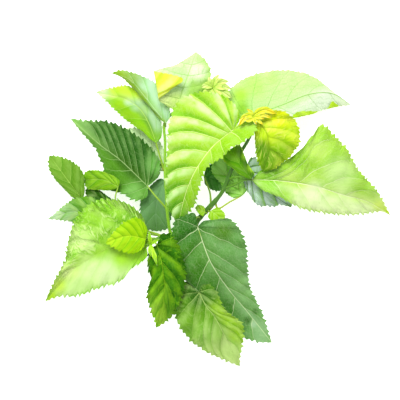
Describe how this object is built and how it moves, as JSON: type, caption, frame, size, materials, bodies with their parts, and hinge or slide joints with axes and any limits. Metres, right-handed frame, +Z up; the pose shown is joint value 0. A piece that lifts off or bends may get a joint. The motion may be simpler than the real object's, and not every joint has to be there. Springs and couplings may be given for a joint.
{
  "type": "mulberry sprig",
  "caption": "Cut mulberry sprig lying on a surface: branching green shoot with broad toothed leaves and young shoot tips.",
  "frame": {"origin": "middle of the sprig's outline, on the surface that it lies on", "axes": "+Z up from the surface, +X towards the large right leaf's tip, +Y towards the upper leaves"},
  "size_m": [0.3502, 0.3168, 0.0874],
  "materials": {
    "stem": "satin",
    "leaf_bright": "satin",
    "leaf_turned": "matte",
    "leaf_young": "satin",
    "leaf_green": "satin",
    "leaf_dark": "satin",
    "leaf_grey": "matte",
    "bud": "satin"
  },
  "bodies": {
    "root": {"stem": "stem", "leaf_centre_front": "leaf_bright", "leaf_top_turned": "leaf_turned", "leaf_upper_right_turned": "leaf_turned", "leaf_young_right": "leaf_young", "leaf_right_large": "leaf_bright", "leaf_right_behind": "leaf_grey", "leaf_small_folded": "leaf_green", "leaf_dark_behind_stem": "leaf_dark", "leaf_pale_behind_stem": "leaf_grey", "leaf_bottom_dark": "leaf_dark", "leaf_bottom_centre": "leaf_green", "leaf_bottom_pale": "leaf_bright", "leaf_left_large": "leaf_bright", "leaf_young_left": "leaf_young", "leaf_upper_left_dark": "leaf_dark", "leaf_left_far": "leaf_green", "leaf_left_folded": "leaf_young", "leaf_left_shadow": "leaf_dark", "leaf_left_behind": "leaf_grey", "leaf_narrow_top": "leaf_green", "leaf_yellow_upper_left": "leaf_young", "leaf_grey_behind": "leaf_grey", "leaf_shadow_centre": "leaf_dark", "leaflet_stem_left": "leaf_young", "leaflet_stem_right": "leaf_young", "bud_right_tip": "bud", "bud_left_tip": "bud", "bud_top": "bud"}
  },
  "joints": []
}
